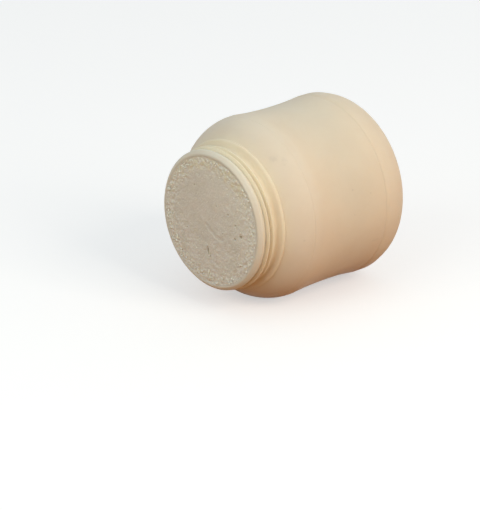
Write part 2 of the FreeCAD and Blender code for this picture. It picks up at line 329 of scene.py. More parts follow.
def smooth_step(low, high, value):
    """0 at low, 1 at high, and an even turn between."""
    t = min(max((value - low) / (high - low), 0), 1)
    return t * t * (3 - 2 * t)


def weigh(piece, name, weight_at):
    """A vertex group whose weights come from a rule on each vertex's place. Gives its name."""
    faintest = 0.001
    group = piece.vertex_groups.new(name=name)
    for vertex in piece.data.vertices:
        weight = weight_at(vertex.co)
        if weight > faintest:
            group.add([vertex.index], min(weight, 1), "REPLACE")
    return name


def displace(piece, group, strength, texture=None, direction="NORMAL", middle=0.5):
    """Pushes a vertex group along a direction, by a texture or evenly, and applies it."""
    make_active(piece)
    modifier = piece.modifiers.new("Relief", "DISPLACE")
    modifier.vertex_group = group
    modifier.strength = strength
    modifier.direction = direction
    modifier.mid_level = middle if texture else 0
    if texture:
        modifier.texture = texture
        modifier.texture_coords = "LOCAL"
    bpy.ops.object.modifier_apply(modifier=modifier.name)


def cloud_texture(name, scale, depth):
    texture = bpy.data.textures.new(name, "CLOUDS")
    texture.noise_scale = scale
    texture.noise_depth = depth
    texture.noise_basis = "ORIGINAL_PERLIN"
    return texture


def curd_texture(name, scale):
    """Rounded lumps with creases between them."""
    texture = bpy.data.textures.new(name, "VORONOI")
    texture.noise_scale = scale
    return texture


# ------ shader helpers

class Nodes:
    """Adds nodes to a tree, from left to right, and joins them."""

    def __init__(self, tree):
        self.tree = tree
        self.column = -1600

    def add(self, kind, **settings):
        node = self.tree.nodes.new(kind)
        node.location = (self.column, 0)
        self.column += 180
        for name, value in settings.items():
            setattr(node, name, value)
        return node

    def join(self, output, target):
        self.tree.links.new(output, target)

    def feed(self, target, value):
        """A socket takes another node's output or a plain value."""
        if isinstance(value, bpy.types.NodeSocket):
            self.join(value, target)
        else:
            target.default_value = value

    def fill(self, node, **values):
        """Feeds a node's inputs by their names, with _ for a space."""
        for name, value in values.items():
            self.feed(node.inputs[name.replace("_", " ")], value)

    def maths(self, operation, *values):
        node = self.add("ShaderNodeMath", operation=operation)
        for socket, value in zip(node.inputs, values):
            self.feed(socket, value)
        return node.outputs[0]

    def times(self, first, second):
        return self.maths("MULTIPLY", first, second)

    def plus(self, first, second):
        return self.maths("ADD", first, second)

    def mix_colour(self, amount, first, second):
        """The node's colours are inputs 6 and 7 and output 2."""
        node = self.add("ShaderNodeMix", data_type="RGBA")
        self.feed(node.inputs[0], amount)
        self.feed(node.inputs[6], first)
        self.feed(node.inputs[7], second)
        return node.outputs[2]

    def tinge(self, tint, mask, share, other):
        """Mixes a share of another colour into a tint, where a mask is 1."""
        return self.mix_colour(self.times(mask, share), tint, other)

    def noise(self, vector, scale, detail=3.0, roughness=0.55, distortion=0.0):
        node = self.add("ShaderNodeTexNoise")
        self.fill(node, Vector=vector, Scale=scale, Detail=detail, Roughness=roughness, Distortion=distortion)
        return node.outputs["Fac"]

    def cells(self, vector, scale, feature="F1"):
        node = self.add("ShaderNodeTexVoronoi", feature=feature)
        self.fill(node, Vector=vector, Scale=scale)
        return node.outputs["Distance"]

    def band(self, value, low, high, to_low=0.0, to_high=1.0):
        """Maps low..high to to_low..to_high, smoothly and held at the ends."""
        node = self.add("ShaderNodeMapRange", interpolation_type="SMOOTHSTEP")
        for socket, number in zip(node.inputs, (value, low, high, to_low, to_high)):
            self.feed(socket, number)
        return node.outputs[0]

    def bump(self, height, strength, distance, normal=None):
        node = self.add("ShaderNodeBump")
        self.fill(node, Height=height, Strength=strength, Distance=distance)
        if normal:
            self.join(normal, node.inputs["Normal"])
        return node.outputs["Normal"]


def new_group(name, numbers, outputs):
    """A shader node group with a vector and numbers (name: default) as inputs, and numbers as outputs.

    Gives the group, its nodes, and the sockets of its inputs and its outputs inside it.
    """
    group = bpy.data.node_groups.new(name, "ShaderNodeTree")
    group.interface.new_socket("Vector", in_out="INPUT", socket_type="NodeSocketVector")
    for label, default in numbers.items():
        socket = group.interface.new_socket(label, in_out="INPUT", socket_type="NodeSocketFloat")
        socket.default_value = default
    for label in outputs:
        group.interface.new_socket(label, in_out="OUTPUT", socket_type="NodeSocketFloat")
    nodes = Nodes(group)
    start = nodes.add("NodeGroupInput")
    end = group.nodes.new("NodeGroupOutput")
    end.location = (1600, 0)
    return group, nodes, start.outputs, end.inputs


def mottle_group():
    """Soft patches and fine specks that change over a surface."""
    sizes = {"Patch Size": 20 * MM, "Speck Size": 2 * MM}
    group, nodes, start, end = new_group("Mottle", sizes, ("Patches", "Specks", "Height"))
    patch_scale = nodes.maths("DIVIDE", 1.0, start["Patch Size"])
    speck_scale = nodes.maths("DIVIDE", 1.0, start["Speck Size"])
    patches = nodes.noise(start["Vector"], patch_scale, detail=4, distortion=0.4)
    fine = nodes.noise(start["Vector"], speck_scale, detail=5, roughness=0.65)
    cells = nodes.cells(start["Vector"], speck_scale)
    nodes.join(nodes.band(patches, 0.35, 0.65), end["Patches"])
    nodes.join(nodes.band(fine, 0.42, 0.72), end["Specks"])
    nodes.join(nodes.maths("SUBTRACT", fine, nodes.times(cells, 0.4)), end["Height"])
    return group


def handling_group():
    """Fine scratches and rubbed patches, as on plastic that has been handled."""
    group, nodes, start, end = new_group("Handling", {}, ("Scratches", "Rubbed"))
    turned = nodes.add("ShaderNodeMapping")
    nodes.fill(turned, Vector=start["Vector"], Rotation=(0.2, 0.35, 0.15), Scale=(160, 1400, 90))
    lines = nodes.noise(turned.outputs["Vector"], 1.0, detail=2, roughness=0.5)
    places = nodes.noise(start["Vector"], 38.0, detail=2)
    rubbed = nodes.noise(start["Vector"], 55.0, detail=5, roughness=0.6)
    nodes.join(nodes.times(nodes.band(lines, 0.70, 0.78), nodes.band(places, 0.52, 0.68)), end["Scratches"])
    nodes.join(nodes.band(rubbed, 0.4, 0.75), end["Rubbed"])
    return group


def place_group(nodes, group, vector, **values):
    """Places a node group in a material, fed by a vector. Gives its outputs."""
    node = nodes.add("ShaderNodeGroup", node_tree=group)
    nodes.fill(node, Vector=vector, **values)
    return node.outputs


def empty_nodes(block):
    """Empties the node tree of a material or a world, to build in."""
    block.use_nodes = True
    block.node_tree.nodes.clear()
    return Nodes(block.node_tree)


def new_material(name):
    """A material with only a Principled shader, and its object coordinates from the mouth's middle.

    Gives the material, its nodes, the place as a vector and in parts, and the shader.
    """
    material = bpy.data.materials.new(name)
    nodes = empty_nodes(material)
    coordinates = nodes.add("ShaderNodeTexCoord")
    centred = nodes.add("ShaderNodeMapping")
    nodes.fill(centred, Vector=coordinates.outputs["Object"], Location=(0, -LIP, -AXIS_HEIGHT))
    parts = nodes.add("ShaderNodeSeparateXYZ")
    nodes.join(centred.outputs["Vector"], parts.inputs[0])
    shader = material.node_tree.nodes.new("ShaderNodeBsdfPrincipled")
    shader.location = (1900, 0)
    output = material.node_tree.nodes.new("ShaderNodeOutputMaterial")
    output.location = (2200, 0)
    nodes.join(shader.outputs[0], output.inputs["Surface"])
    return material, nodes, centred.outputs["Vector"], parts.outputs, shader


def radius_in_shader(nodes, parts):
    across = nodes.times(parts["X"], parts["X"])
    up = nodes.times(parts["Z"], parts["Z"])
    return nodes.maths("SQRT", nodes.plus(across, up))


def spot_mask(nodes, vector, centre, size, softness):
    """1 inside a soft-edged ellipsoid and 0 outside. Its centre and its size are in millimetres."""
    moved = nodes.add("ShaderNodeMapping", vector_type="TEXTURE")
    nodes.fill(moved, Vector=vector, Location=in_mm(centre), Scale=in_mm(size))
    reach = nodes.add("ShaderNodeVectorMath", operation="LENGTH")
    nodes.join(moved.outputs["Vector"], reach.inputs[0])
    return nodes.band(reach.outputs["Value"], 1.0 - softness, 1.0, 1.0, 0.0)


# ------ finishes

# dull marks on the plastic: the place from the mouth's middle and the size, in millimetres, and the share
# of the smudge's colour
MARKS = [
    ((32.4, 24.6, 44.2), (5.4, 4.6, 5.0), 0.16),
    ((37.4, 28.2, 42.6), (5.0, 3.6, 4.2), 0.13),
    ((55.6, 93.0, -21.5), (2.4, 4.6, 1.6), 0.22),
    ((56.2, 71.5, 18.1), (1.0, 1.2, 1.0), 0.25),
    ((57.9, 86.3, 12.9), (1.0, 1.0, 0.9), 0.22),
    ((59.0, 70.8, 2.2), (1.0, 0.9, 1.1), 0.20),
    ((56.6, 28.0, -5.1), (1.2, 1.2, 1.2), 0.22),
]


def plastic_material(settings, mottle, handling):
    """Milky blow-moulded plastic: warmer and lighter at the neck, partly its own tint and partly painted
    light, faintly mottled where the curd touches it.
    """
    material, nodes, vector, parts, shader = new_material("Milky Plastic")
    patches = place_group(nodes, mottle, vector, Patch_Size=26 * MM, Speck_Size=3.4 * MM)
    handled = place_group(nodes, handling, vector)
    scratches = handled["Scratches"]

    def fading(low, high):
        """1 up to a distance from the lip, and 0 from another."""
        return nodes.band(parts["Y"], low, high, 1.0, 0.0)

    shoulder = fading(settings.shoulder_crest - 9 * MM, settings.shoulder_crest + 3 * MM)
    neck = fading(settings.neck_length - 3 * MM, settings.neck_length + 9 * MM)
    lip = fading(2.5 * MM, 5.5 * MM)
    tint = nodes.mix_colour(shoulder, settings.plastic, settings.shoulder_plastic)
    # painted light: the neck is made warmer and lighter, on top of its own tint
    tint = nodes.mix_colour(neck, tint, settings.neck_plastic_and_painted_light)
    tint = nodes.mix_colour(lip, tint, settings.lip_plastic)
    tint = nodes.tinge(tint, patches["Patches"], 0.14, settings.curd_shadow)
    tint = nodes.tinge(tint, patches["Specks"], 0.05, settings.pale_speck)
    uneven = nodes.band(nodes.noise(vector, 330.0, detail=3), 0.38, 0.62, 0.2, 1.0)
    for place, size, share in MARKS:
        mask = nodes.times(spot_mask(nodes, vector, place, size, softness=0.8), uneven)
        tint = nodes.tinge(tint, mask, share, settings.smudge)
    tint = nodes.tinge(tint, scratches, 0.35, settings.scratch)

    roughness = nodes.plus(0.42, nodes.times(handled["Rubbed"], 0.14))
    roughness = nodes.plus(roughness, nodes.times(scratches, 0.2))
    height = nodes.maths("SUBTRACT", nodes.noise(vector, 120.0, detail=2), nodes.times(scratches, 0.6))
    nodes.fill(
        shader, Base_Color=tint, Roughness=roughness, Normal=nodes.bump(height, 0.12, 0.4 * MM),
        Subsurface_Weight=0.6, Subsurface_Radius=(1.0, 0.88, 0.78), Subsurface_Scale=2.6 * MM,
        Specular_IOR_Level=0.03)
    return material


# painted shade in the deeper pits and in the crack, in millimetres from the mouth's middle: across, up, half
# its width and half its height
PIT_AND_CRACK_SHADES = [(28.2, -3.2, 1.3, 1.2), (23.3, -6.0, 0.9, 0.9), (23.8, 3.2, 0.9, 0.8), (16.9, 8.7, 0.9, 0.8),
           (-1.5, -19.8, 1.2, 2.2), (0.2, -23.4, 1.1, 1.4), (12.4, -5.0, 0.7, 0.7)]


def cheese_material(settings, mottle, name="Cheese Paste", paleness=0.0):
    """Pressed crumbly paste: smooth and greyish in the middle, pale grains and yellow fat at the rim, painted
    light that pales the face towards the upper right, and painted shade in small dents, between the grains
    and in the pits and the crack.
    """
    material, nodes, vector, parts, shader = new_material(name)
    patches = place_group(nodes, mottle, vector, Patch_Size=13 * MM, Speck_Size=1.3 * MM)
    grains = place_group(nodes, mottle, vector, Patch_Size=5 * MM, Speck_Size=1.1 * MM)
    wander = nodes.times(nodes.noise(vector, 90.0, detail=4), 9 * MM)
    rim = nodes.band(nodes.plus(radius_in_shader(nodes, parts), wander), 36 * MM, 41 * MM)
    upper = nodes.band(parts["Z"], 12 * MM, 34 * MM)
    # painted light: a gradient that pales the face towards the upper right, where the light falls
    side = nodes.band(nodes.plus(parts["X"], parts["Z"]), 0.0, 48 * MM)

    paste = nodes.tinge(settings.paste, patches["Patches"], 0.75, settings.damp_paste)
    # painted shade in small dents of the paste
    dents = nodes.band(nodes.noise(vector, 380.0, detail=3), 0.34, 0.50, 0.16, 0.0)
    paste = nodes.mix_colour(dents, paste, settings.gap)
    paste = nodes.tinge(paste, grains["Specks"], 0.35, settings.curd)
    # painted light: curd colour mixed into the paste towards the upper right
    paste = nodes.tinge(paste, side, 0.3, settings.curd)

    # painted light: the crumbly ring is also paler towards the upper right
    pale = nodes.maths("MAXIMUM", patches["Specks"], nodes.times(side, 0.45))
    crumbly = nodes.mix_colour(pale, settings.paste, settings.curd)
    crumbly = nodes.tinge(crumbly, nodes.times(grains["Patches"], upper), 0.7, settings.fat)
    # painted shade in the crevices between the grains
    seams = nodes.band(nodes.cells(vector, 620.0, "DISTANCE_TO_EDGE"), 0.0, 0.10, 1.0, 0.0)
    crumbly = nodes.tinge(crumbly, seams, 0.35, settings.gap)

    both = nodes.tinge(paste, rim, 0.85, crumbly)
    shade_depth = 5
    # painted shade: darkens the pits and the crack
    for across, up, wide, high in PIT_AND_CRACK_SHADES:
        mask = spot_mask(nodes, vector, (across, 0, up), (wide, shade_depth, high), softness=0.7)
        both = nodes.tinge(both, mask, 0.8, settings.hollow)
    both = nodes.mix_colour(paleness, both, settings.curd)

    roughness = nodes.band(grains["Patches"], 0.0, 1.0, 0.62, 0.44)
    fine = nodes.bump(grains["Height"], 0.45, 0.4 * MM)
    normal = nodes.bump(patches["Height"], 0.4, 0.5 * MM, fine)
    nodes.fill(
        shader, Base_Color=both, Roughness=roughness, Normal=normal, Subsurface_Weight=0.25,
        Subsurface_Radius=(1.0, 0.75, 0.5), Subsurface_Scale=2.0 * MM, Specular_IOR_Level=0.35)
    return material


# ------ jar

def crease(settings, along):
    """Depth of the fine crease round the shoulder at a distance from the lip."""
    width = 0.45 * MM
    return settings.crease_depth * math.exp(-((along - settings.crease_at) / width) ** 2)


def jar_outside(settings):
    """The outside from the lip's inner edge to the middle of the base, as (radius, along, rounding)."""
    taper = 0.4 * MM  # how far the label panel runs in towards the base
    heel_inset = 0.7 * MM
    body = BODY_RADIUS
    mouth = settings.mouth_radius
    collar = settings.collar_radius
    neck_end = settings.neck_length
    bead = settings.base_bead_start
    groove = collar - settings.groove_depth
    corners = [
        corner(mouth, BORE_END),
        corner(mouth, 0, rounding=0.35),
        corner(mouth + settings.lip_wall, 0, rounding=1.0),
        corner(settings.bead_radius, 0, rounding=1.0, behind=2.2),
        corner(settings.bead_radius, 0, rounding=0.8, behind=3.6),
        corner(settings.neck_radius, 0, rounding=0.8, behind=5.3),
        corner(settings.neck_radius, neck_end, rounding=1.6, behind=-1.4),
        corner(collar, neck_end, rounding=1.2, inward=0.7, behind=0.2),
        corner(collar, neck_end, rounding=1.0, behind=1.3),
        corner(groove, settings.shoulder_start, rounding=1.5),
    ]
    shoulder = shoulder_arc(groove, settings.shoulder_start, body, settings.shoulder_crest, steps=70)
    for radius, along in shoulder[1:]:
        corners.append(corner(radius - crease(settings, along), along))
    panel_run = bead - settings.shoulder_crest
    panel_steps = 24
    for step in range(1, panel_steps):
        t = step / panel_steps
        waist = 4 * settings.waist_depth * t * (1 - t)
        corners.append(corner(body - taper * t - waist, settings.shoulder_crest + panel_run * t))
    corners += [
        corner(body, bead, rounding=0.5, inward=0.5, behind=-0.9),
        corner(body, bead, rounding=0.8, inward=1.0),
        corner(body, bead, rounding=0.9, inward=0.3, behind=1.4),
        corner(body, bead, rounding=1.2, behind=3.2),
        corner(body, settings.base_bead_end, rounding=0.6),
    ]
    heel = settings.heel_radius
    heel_centre = (body - heel_inset - heel, JAR_LENGTH - heel)
    for radius, along in arc(heel_centre, heel, 0, math.pi / 2, steps=14):
        corners.append(corner(radius, along))
    hollow_floor = JAR_LENGTH - settings.push_up_depth
    corners += [
        corner(settings.push_up_radius, JAR_LENGTH, rounding=1.2),
        corner(settings.push_up_radius, hollow_floor, rounding=1.2, inward=3),
        corner(0, hollow_floor),
    ]
    return corners


def jar_inside(settings):
    """The inside from the middle of the floor back to the mouth."""
    wall = BODY_RADIUS - settings.waist_depth - settings.wall
    floor = JAR_LENGTH - settings.push_up_depth - settings.base_wall
    heel = settings.inner_heel_radius
    bore_end = settings.neck_length + 1.1 * MM
    points = [(0, floor)]
    points += arc((wall - heel, floor - heel), heel, math.pi / 2, 0, steps=6)
    points += reversed(shoulder_arc(settings.mouth_radius, bore_end, wall, settings.shoulder_crest, steps=12))
    points.append((settings.mouth_radius, BORE_END))
    return points


def make_thread(settings):
    """The single screw thread: a small section turned by a Screw modifier, its ends sunk into the neck."""
    sunk = 0.5 * MM
    chamfer = 0.7 * MM
    root = settings.neck_radius - sunk
    crest = settings.thread_radius
    # each radius of the section, and half its width there in millimetres
    half = [(root, 1.6), (crest - chamfer, 0.8), (crest, 0.3)]
    section = [(radius, -width) for radius, width in half] + half[::-1]
    across = math.cos(settings.thread_lead)
    up = math.sin(settings.thread_lead)
    deselect_all()
    bpy.ops.mesh.primitive_circle_add(vertices=len(section), radius=MM, fill_type="NGON")
    thread = new_piece("thread")
    for vertex, (radius, along) in zip(thread.data.vertices, section):
        vertex.co = (radius * across, along * MM, radius * up)
    steps = round(settings.segments * settings.thread_turns)
    screw = thread.modifiers.new("Screw", "SCREW")
    screw.axis = "Y"
    screw.angle = 2 * math.pi * settings.thread_turns
    screw.screw_offset = settings.thread_pitch * settings.thread_turns
    screw.steps = steps
    screw.render_steps = steps
    bpy.ops.object.modifier_apply(modifier=screw.name)
    run_in = 10  # steps over which an end rises out of the neck
    for index, vertex in enumerate(thread.data.vertices):
        step = index // len(section)
        keep = smooth_step(0, run_in, step) * smooth_step(0, run_in, steps - step)
        radius = math.hypot(vertex.co.x, vertex.co.z)
        share = (root + (radius - root) * keep) / radius
        vertex.co.x *= share
        vertex.co.z *= share
    bpy.ops.transform.translate(value=(0, LIP + settings.thread_start, AXIS_HEIGHT))
    apply_place(thread)
    return thread


def press_flat(piece, axis, limit):
    """Presses what lies below a limit along an axis up to it."""
    make_active(piece)
    bpy.ops.object.mode_set(mode="EDIT")
    bpy.ops.mesh.select_all(action="DESELECT")
    mesh = bmesh.from_edit_mesh(piece.data)
    for vertex in mesh.verts:
        vertex.select = vertex.co[axis] < limit
    mesh.select_flush_mode()
    bmesh.update_edit_mesh(piece.data)
    flat = [0 if number == axis else 1 for number in range(3)]
    centre = [limit if number == axis else 0 for number in range(3)]
    bpy.ops.transform.resize(value=flat, center_override=centre)
    bpy.ops.object.mode_set(mode="OBJECT")


def panel_weight(settings):
    """A rule that is 1 on the label panel and fades to 0 at the crest and the base bead."""
    outer_skin = BODY_RADIUS - settings.waist_depth - 0.7 * settings.wall
    start = settings.shoulder_crest
    end = settings.base_bead_start
    fade_in = 12 * MM
    fade_out = 10 * MM

    def weight(point):
        along = point.y - LIP
        if distance_from_axis(point) < outer_skin:
            return 0
        return smooth_step(start, start + fade_in, along) * (1 - smooth_step(end - fade_out, end, along))

    return weight


class TULUM_OT_jar(bpy.types.Operator):
    """Make the plastic jar: lip, threaded neck, collar, shoulder, waisted panel, base bead and heel"""

    bl_idname = "tulum.jar"
    bl_label = "Add Jar"

    def execute(self, context):
        settings = context.scene.tulum_jar
        outside = divided(rounded(jar_outside(settings)), longest=1.6 * MM)
        inside = divided(jar_inside(settings), longest=6 * MM)
        jar = lathe("jar_shell", outside + inside, settings.segments)
        group = weigh(jar, "Panel", panel_weight(settings))
        waves = cloud_texture("Blown Waves", scale=32 * MM, depth=1)
        displace(jar, group, strength=-0.5 * MM, texture=waves, middle=0.2)
        thread = make_thread(settings)
        make_active(jar)
        thread.select_set(True)
        bpy.ops.object.join()
        press_flat(jar, UP, FLOOR)
        shade_smooth(jar, angle=50)
        material = plastic_material(settings, shared_group("Mottle"), shared_group("Handling"))
        finish_piece(jar, material)
        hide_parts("jar")
        return {"FINISHED"}


# ------ cheese

def on_face(across, up):
    """A place on the mouth's plane, from the middle of the mouth."""
    return Vector((across, LIP, AXIS_HEIGHT + up))


def flat_distance(point, spot):
    """Distance in the plane of the mouth."""
    return math.hypot(point.x - spot.x, point.z - spot.z)


def line_distance(point, line):
    """Distance from a chain of spots, in the plane of the mouth."""
    best = 1
    for a, b in zip(line, line[1:]):
        along = Vector((b.x - a.x, b.z - a.z))
        offset = Vector((point.x - a.x, point.z - a.z))
        t = min(max(offset.dot(along) / along.length_squared, 0), 1)
        best = min(best, (offset - along * t).length)
    return best


# middle of each pit, across and up from the mouth's middle, and its radius, in millimetres
PITS = [(28.4, -3.0, 1.25), (23.8, 3.2, 0.8), (23.3, -6.0, 0.85), (16.9, 8.7, 0.75), (-14.2, 21.0, 0.6),
        (6.5, 12.0, 0.5), (-21.5, -9.5, 0.6)]
# the lines of the crack and of the smear, across and up from the mouth's middle, in millimetres
CRACK = [(-1.8, -18.0), (-1.5, -20.4), (-0.4, -23.1)]
SMEAR = [(-3.1, -2.8), (0.6, -6.0), (5.2, -8.6), (10.8, -9.8)]


def face_line(points):
    return [on_face(across * MM, up * MM) for across, up in points]


def front(point):
    """Whether a point of the fill is on its face."""
    face_reach = 1.6 * MM
    return point.y < LIP + face_reach


def cheese_profile(settings, jar):
    """From the middle of the face, over its worn edge and along the wall to the middle of the floor."""
    overlap = 0.2 * MM  # the cheese reaches a little into the wall, so that no slit shows
    worn_width = 2.8 * MM
    radius = jar.mouth_radius + overlap
    points = []
    for ring in range(settings.rings + 1):
        distance = radius * ring / settings.rings
        dome = -settings.face_dome * (1 - (distance / radius) ** 2)
        worn = settings.edge_drop * smooth_step(radius - worn_width, radius, distance)
        points.append((distance, dome + worn))
    sides = [(distance + overlap if distance else 0, along) for distance, along in reversed(jar_inside(jar))]
    return points + divided(sides, longest=5 * MM)


def raise_relief(settings, cheese, jar):
    """Presses the curd's relief into the face."""
    edge = jar.mouth_radius
    crumbly = edge - settings.crumbly_width
    pits = [(on_face(across * MM, up * MM), size * MM) for across, up, size in PITS]
    smoothest = on_face(-3 * MM, 9 * MM)
    hem = 0.8 * MM

    def wander(point, size, scale):
        """How far a border strays from its circle."""
        return size * MM * noise.noise(point * scale)

    def dent(distance, size):
        """1 in the inner third of a dent and 0 outside it."""
        return 1 - smooth_step(0.35 * size, size, distance)

    def whole_face(point):
        return front(point) * (1 - smooth_step(edge - hem, edge, distance_from_axis(point)))

    def rim(point):
        reach = distance_from_axis(point) + wander(point, 4, 90)
        return whole_face(point) * smooth_step(crumbly - 1 * MM, crumbly + 5 * MM, reach)

    def coarse(point):
        reach = flat_distance(point, smoothest) + wander(point, 5, 60)
        return whole_face(point) * (0.35 + 0.65 * smooth_step(14 * MM, 30 * MM, reach))

    def near(line, width):
        line = face_line(line)
        return lambda point: whole_face(point) * dent(line_distance(point, line), width)

    def in_pits(point):
        return front(point) * max(dent(flat_distance(point, spot), size) for spot, size in pits)

    # each group with its rule, then the depth in millimetres, the texture and the middle of each push
    layers = [
        ("Face", whole_face, [(0.9, cloud_texture("Pressed Waves", 14 * MM, 2), 0.5)]),
        ("Rough", coarse, [(1.1, cloud_texture("Curd", 2.4 * MM, 3), 0.5),
                           (0.35, cloud_texture("Grain", 1.1 * MM, 2), 0.5)]),
        ("Rim", rim, [(0.9, curd_texture("Rim Lumps", 2.6 * MM), 0.35),
                      (1.0, cloud_texture("Rim Crumbs", 1.3 * MM, 3), 0.5)]),
        ("Pits", in_pits, [(2.0, None, 0)]),
        ("Crack", near(CRACK, 0.75 * MM), [(1.3, None, 0)]),
        ("Smear", near(SMEAR, 1.8 * MM), [(0.30, None, 0)]),
    ]
    for name, rule, pushes in layers:
        group = weigh(cheese, name, rule)
        for depth, texture, middle in pushes:
            displace(cheese, group, depth * MM, texture, "Y", middle)


class TULUM_OT_cheese(bpy.types.Operator):
    """Make the cheese that fills the jar, with its crumbly face at the mouth"""

    bl_idname = "tulum.cheese"
    bl_label = "Add Cheese"

    def execute(self, context):
        settings = context.scene.tulum_cheese
        jar = context.scene.tulum_jar
        cheese = lathe("cheese_fill", cheese_profile(settings, jar), settings.segments)
        raise_relief(settings, cheese, jar)
        press_flat(cheese, ALONG, CAD_LOW.y)
        shade_smooth(cheese, angle=60)
        finish_piece(cheese, cheese_material(settings, shared_group("Mottle")))
        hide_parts("cheese")
        return {"FINISHED"}


def crumb_kinds():
    """A few lumps of curd that the crumbs are copied from."""
    flattened = (1, 0.7, 0.85)
    kinds = []
    for number in range(4):
        deselect_all()
        bpy.ops.mesh.primitive_ico_sphere_add(subdivisions=2, radius=MM, location=(0, 0, 0))
        crumb = new_piece("crumb_kind_%d" % number)
        bpy.ops.object.mode_set(mode="EDIT")
        bpy.ops.mesh.select_all(action="SELECT")
        bpy.ops.transform.resize(value=flattened)
        bpy.ops.object.mode_set(mode="OBJECT")
        whole = weigh(crumb, "Whole", lambda point: 1)
        lumps = curd_texture("Crumb Lumps %d" % number, scale=(0.9 + 0.25 * number) * MM)
        displace(crumb, whole, strength=0.7 * MM, texture=lumps, middle=0.4)
        grain = cloud_texture("Crumb Grain %d" % number, scale=0.5 * MM, depth=2)
        displace(crumb, whole, strength=0.35 * MM, texture=grain)
        kinds.append(crumb)
    return kinds


# lumps and flakes that lie on the face, in millimetres: across and up from the mouth's middle, length,
# width and the lean of its length from level, in degrees
FLAKES = [
    (-39.2, 11.6, 3.4, 2.2, 20), (-31.0, -19.0, 3.4, 1.5, 110), (38.6, 1.4, 2.2, 1.3, 80),
    (28.0, -22.0, 2.4, 1.3, 70), (-1.4, -35.4, 6.0, 1.5, 84), (-0.6, -38.4, 3.6, 1.3, 78),
    (6.2, -40.6, 1.8, 1.2, 15), (28.4, -0.4, 1.6, 1.1, 60), (-24.0, 24.5, 1.8, 1.2, 40),
    (13.5, 35.0, 1.8, 1.3, 150), (30.2, 28.2, 2.0, 1.2, 130), (11.5, -36.5, 2.0, 0.8, 95),
    (27.0, -16.5, 3.6, 1.0, 82), (-12.0, -37.6, 1.8, 1.1, 30), (-36.5, -4.0, 2.0, 1.0, 100),
    (33.0, -12.5, 1.8, 0.8, 85), (20.0, -33.8, 2.0, 1.0, 40), (-9.6, -31.6, 1.4, 0.6, 50),
]


def crumb_places(settings, jar, chance):
    """Where the crumbs lie: most in the crumbly ring, thickest along its top and bottom."""
    ring_share = 0.9
    hem = 0.5 * MM
    middle_reach = jar.mouth_radius - 6 * MM
    middle_size = 0.6
    places = []
    while len(places) < settings.crumbs:
        angle = chance.uniform(0, 2 * math.pi)
        in_ring = chance.random() < ring_share
        if in_ring:
            # the ring is widest at the top, and its sides keep fewer crumbs
            spread = 3.2 + 1.6 * max(math.sin(angle), 0)
            distance = jar.mouth_radius - hem - abs(chance.gauss(0, spread)) * MM
            if chance.random() > 0.55 + 0.45 * abs(math.sin(angle)):
                continue
        else:
            distance = middle_reach * math.sqrt(chance.random())
        # few crumbs are large
        size = 0.4 + 0.95 * chance.random() ** 2.2
        if not in_ring:
            size *= middle_size
        places.append((angle, distance, size))
    return places


def place_crumb(settings, jar, kind, spot, turn, scale, flake=False):
    """A copy of a lump, half sunk in the face. A crumb stays inside the CAD's box."""
    sunk = 0.2 * MM
    proud = 0.1 * MM
    copy = kind.copy()
    copy.data = kind.data.copy()
    bpy.context.collection.objects.link(copy)
    dome = settings.face_dome * (1 - (distance_from_axis(spot) / jar.mouth_radius) ** 2)
    if flake:
        depth = -proud - dome
    else:
        reach = 1.15 * max(scale) * MM  # of its furthest corner
        depth = max(sunk - dome, CAD_LOW.y - LIP + reach)
    copy.location = spot + Vector((0, depth, 0))
    copy.rotation_euler = turn
    copy.scale = scale
    return copy


class TULUM_OT_crumbs(bpy.types.Operator):
    """Scatter loose crumbs of curd over the cheese, most of them round the rim"""

    bl_idname = "tulum.crumbs"
    bl_label = "Add Crumbs"

    def execute(self, context):
        settings = context.scene.tulum_cheese
        jar = context.scene.tulum_jar
        chance = random.Random(7)
        kinds = crumb_kinds()
        copies = []
        for angle, distance, size in crumb_places(settings, jar, chance):
            turn = [chance.uniform(0, 2 * math.pi) for axis in range(3)]
            scale = [size * chance.uniform(0.8, 1.2) for axis in range(3)]
            spot = on_face(distance * math.cos(angle), distance * math.sin(angle))
            copies.append(place_crumb(settings, jar, chance.choice(kinds), spot, turn, scale))
        flake_depth = 0.8
        for across, up, long, wide, lean in FLAKES:
            turn = (0, -math.radians(lean), 0)
            scale = (long / 2, flake_depth, wide / 2)
            spot = on_face(across * MM, up * MM)
            copies.append(place_crumb(settings, jar, chance.choice(kinds), spot, turn, scale, flake=True))
        for kind in kinds:
            bpy.data.objects.remove(kind)
        deselect_all()
        for copy in copies:
            copy.select_set(True)
        context.view_layer.objects.active = copies[0]
        bpy.ops.object.join()
        crumbs = new_piece("cheese_crumbs")
        apply_place(crumbs)
        press_flat(crumbs, ALONG, CAD_LOW.y)
        shade_smooth(crumbs, angle=60)
        material = cheese_material(settings, shared_group("Mottle"), "Cheese Crumbs", paleness=0.5)
        finish_piece(crumbs, material)
        return {"FINISHED"}


# ------ stage

def shared_group(name):
    """The node group of that name, made the first time that it is asked for."""
    makers = {"Mottle": mottle_group, "Handling": handling_group}
    return bpy.data.node_groups.get(name) or makers[name]()


def seen_directly(nodes):
    """1 for rays from the camera and in reflections, and 0 for the rays that light other things."""
    path = nodes.add("ShaderNodeLightPath")
    direct = nodes.maths("MAXIMUM", path.outputs["Is Camera Ray"], path.outputs["Is Glossy Ray"])
    return nodes.maths("MAXIMUM", direct, path.outputs["Is Transmission Ray"])


